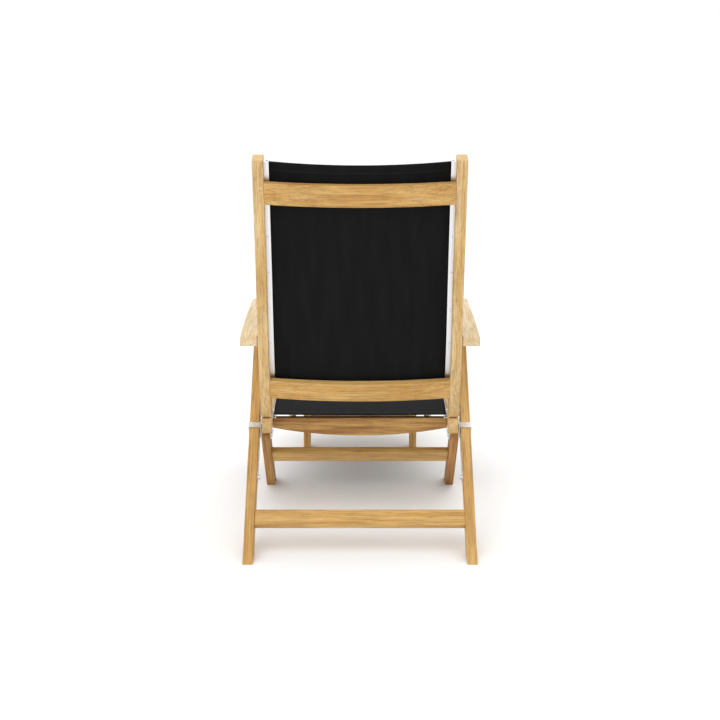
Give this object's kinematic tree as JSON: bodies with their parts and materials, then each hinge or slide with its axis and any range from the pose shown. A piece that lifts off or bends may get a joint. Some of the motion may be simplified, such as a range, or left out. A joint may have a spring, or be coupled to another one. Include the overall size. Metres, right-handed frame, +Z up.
{
  "type": "folding deck chair",
  "caption": "Reclined teak deck chair with woven slings in metal tracks, level arms, crossed legs that fold flat and a pull-out footrest.",
  "frame": {"origin": "on the floor, under the middle of the chair's box at rest", "axes": "+Z up, the sitter faces +Y, +X to the sitter's right; the chair is symmetric about the YZ plane"},
  "size_m": [0.6504, 1.16, 1.0491],
  "materials": {
    "teak": "oiled teak, satin, straight grain",
    "sling": "black woven outdoor mesh",
    "aluminium": "satin extruded",
    "steel": "stainless, brushed",
    "plastic": "matte black"
  },
  "bodies": {
    "seat": {"seat_rail_left": "teak", "seat_rail_right": "teak", "seat_rear_crossbar": "teak", "seat_middle_crossbar": "teak", "seat_front_crossbar": "teak", "seat_track_left": "aluminium", "seat_track_right": "aluminium", "seat_sling": "sling", "seat_hem_rods": "plastic", "seat_track_screws": "steel", "inner_leg_bracket_left": "steel", "inner_leg_bracket_right": "steel", "inner_leg_pivot_pins": "steel", "seat_hinge_leaf_left": "steel", "seat_hinge_leaf_right": "steel", "back_hinge_pins": "steel", "footrest_channel_left": "aluminium", "footrest_channel_right": "aluminium"},
    "back": {"back_stile_left": "teak", "back_stile_right": "teak", "back_top_rail": "teak", "back_lower_rail": "teak", "back_track_left": "aluminium", "back_track_right": "aluminium", "back_sling": "sling", "back_hem_rods": "plastic", "back_track_screws": "steel", "rail_joint_plugs": "teak", "back_hinge_leaf_left": "steel", "back_hinge_leaf_right": "steel", "arm_pivot_bolts": "steel"},
    "arms": {"armrest_left": "teak", "armrest_right": "teak"},
    "stirrups": {"stirrup_left": "steel", "stirrup_right": "steel", "stirrup_pivot_bolts": "steel"},
    "outer_legs": {"outer_leg_left": "teak", "outer_leg_right": "teak", "outer_leg_stretcher": "teak", "leg_guide_left": "steel", "leg_guide_right": "steel", "leg_guide_screws": "steel", "arm_rest_pads": "plastic"},
    "inner_legs": {"inner_leg_left": "teak", "inner_leg_right": "teak", "inner_leg_stretcher": "teak"},
    "footrest": {"footrest_rail_left": "teak", "footrest_rail_right": "teak", "footrest_front_bar": "teak", "footrest_rear_bar": "teak", "footrest_track_left": "aluminium", "footrest_track_right": "aluminium", "footrest_sling": "sling", "footrest_leg_bracket_left": "steel", "footrest_leg_bracket_right": "steel", "footrest_leg_pins": "steel"},
    "footrest_legs": {"footrest_leg_left": "teak", "footrest_leg_right": "teak", "footrest_leg_stretcher": "teak"}
  },
  "joints": [
    {"name": "back_fold", "type": "hinge", "parent": "seat", "child": "back", "pos_m": [0, -0.161, 0.2955], "axis": [-1, 0, 0], "range_deg": [0, 104]},
    {"name": "arm_pivot", "type": "hinge", "parent": "back", "child": "arms", "pos_m": [0, -0.2925, 0.5325], "axis": [-1, 0, 0], "range_deg": [-104, 0]},
    {"name": "stirrup_pivot", "type": "hinge", "parent": "seat", "child": "stirrups", "pos_m": [0, -0.21222, 0.2568], "axis": [-1, 0, 0], "range_deg": [0, 37.9]},
    {"name": "leg_slide", "type": "slide", "parent": "stirrups", "child": "outer_legs", "axis": [0, 0.7902, 0.6129], "range_m": [0, 0.1205]},
    {"name": "inner_leg_fold", "type": "hinge", "parent": "seat", "child": "inner_legs", "pos_m": [0, -0.1429, 0.2205], "axis": [1, 0, 0], "range_deg": [0, 44.4]},
    {"name": "footrest_slide", "type": "slide", "parent": "seat", "child": "footrest", "axis": [0, -1, 0], "range_m": [0, 0.2]},
    {"name": "footrest_leg_fold", "type": "hinge", "parent": "footrest", "child": "footrest_legs", "pos_m": [0, 0.42, 0.172], "axis": [-1, 0, 0], "range_deg": [0, 90]}
  ],
  "couplings": [
    {"joint": "arm_pivot", "follows": "back_fold", "ratio": -1},
    {"joint": "stirrup_pivot", "follows": "back_fold", "ratio": 0.36346},
    {"joint": "leg_slide", "follows": "back_fold", "m_per_rad": 0.066111},
    {"joint": "inner_leg_fold", "follows": "back_fold", "ratio": 0.42596}
  ]
}
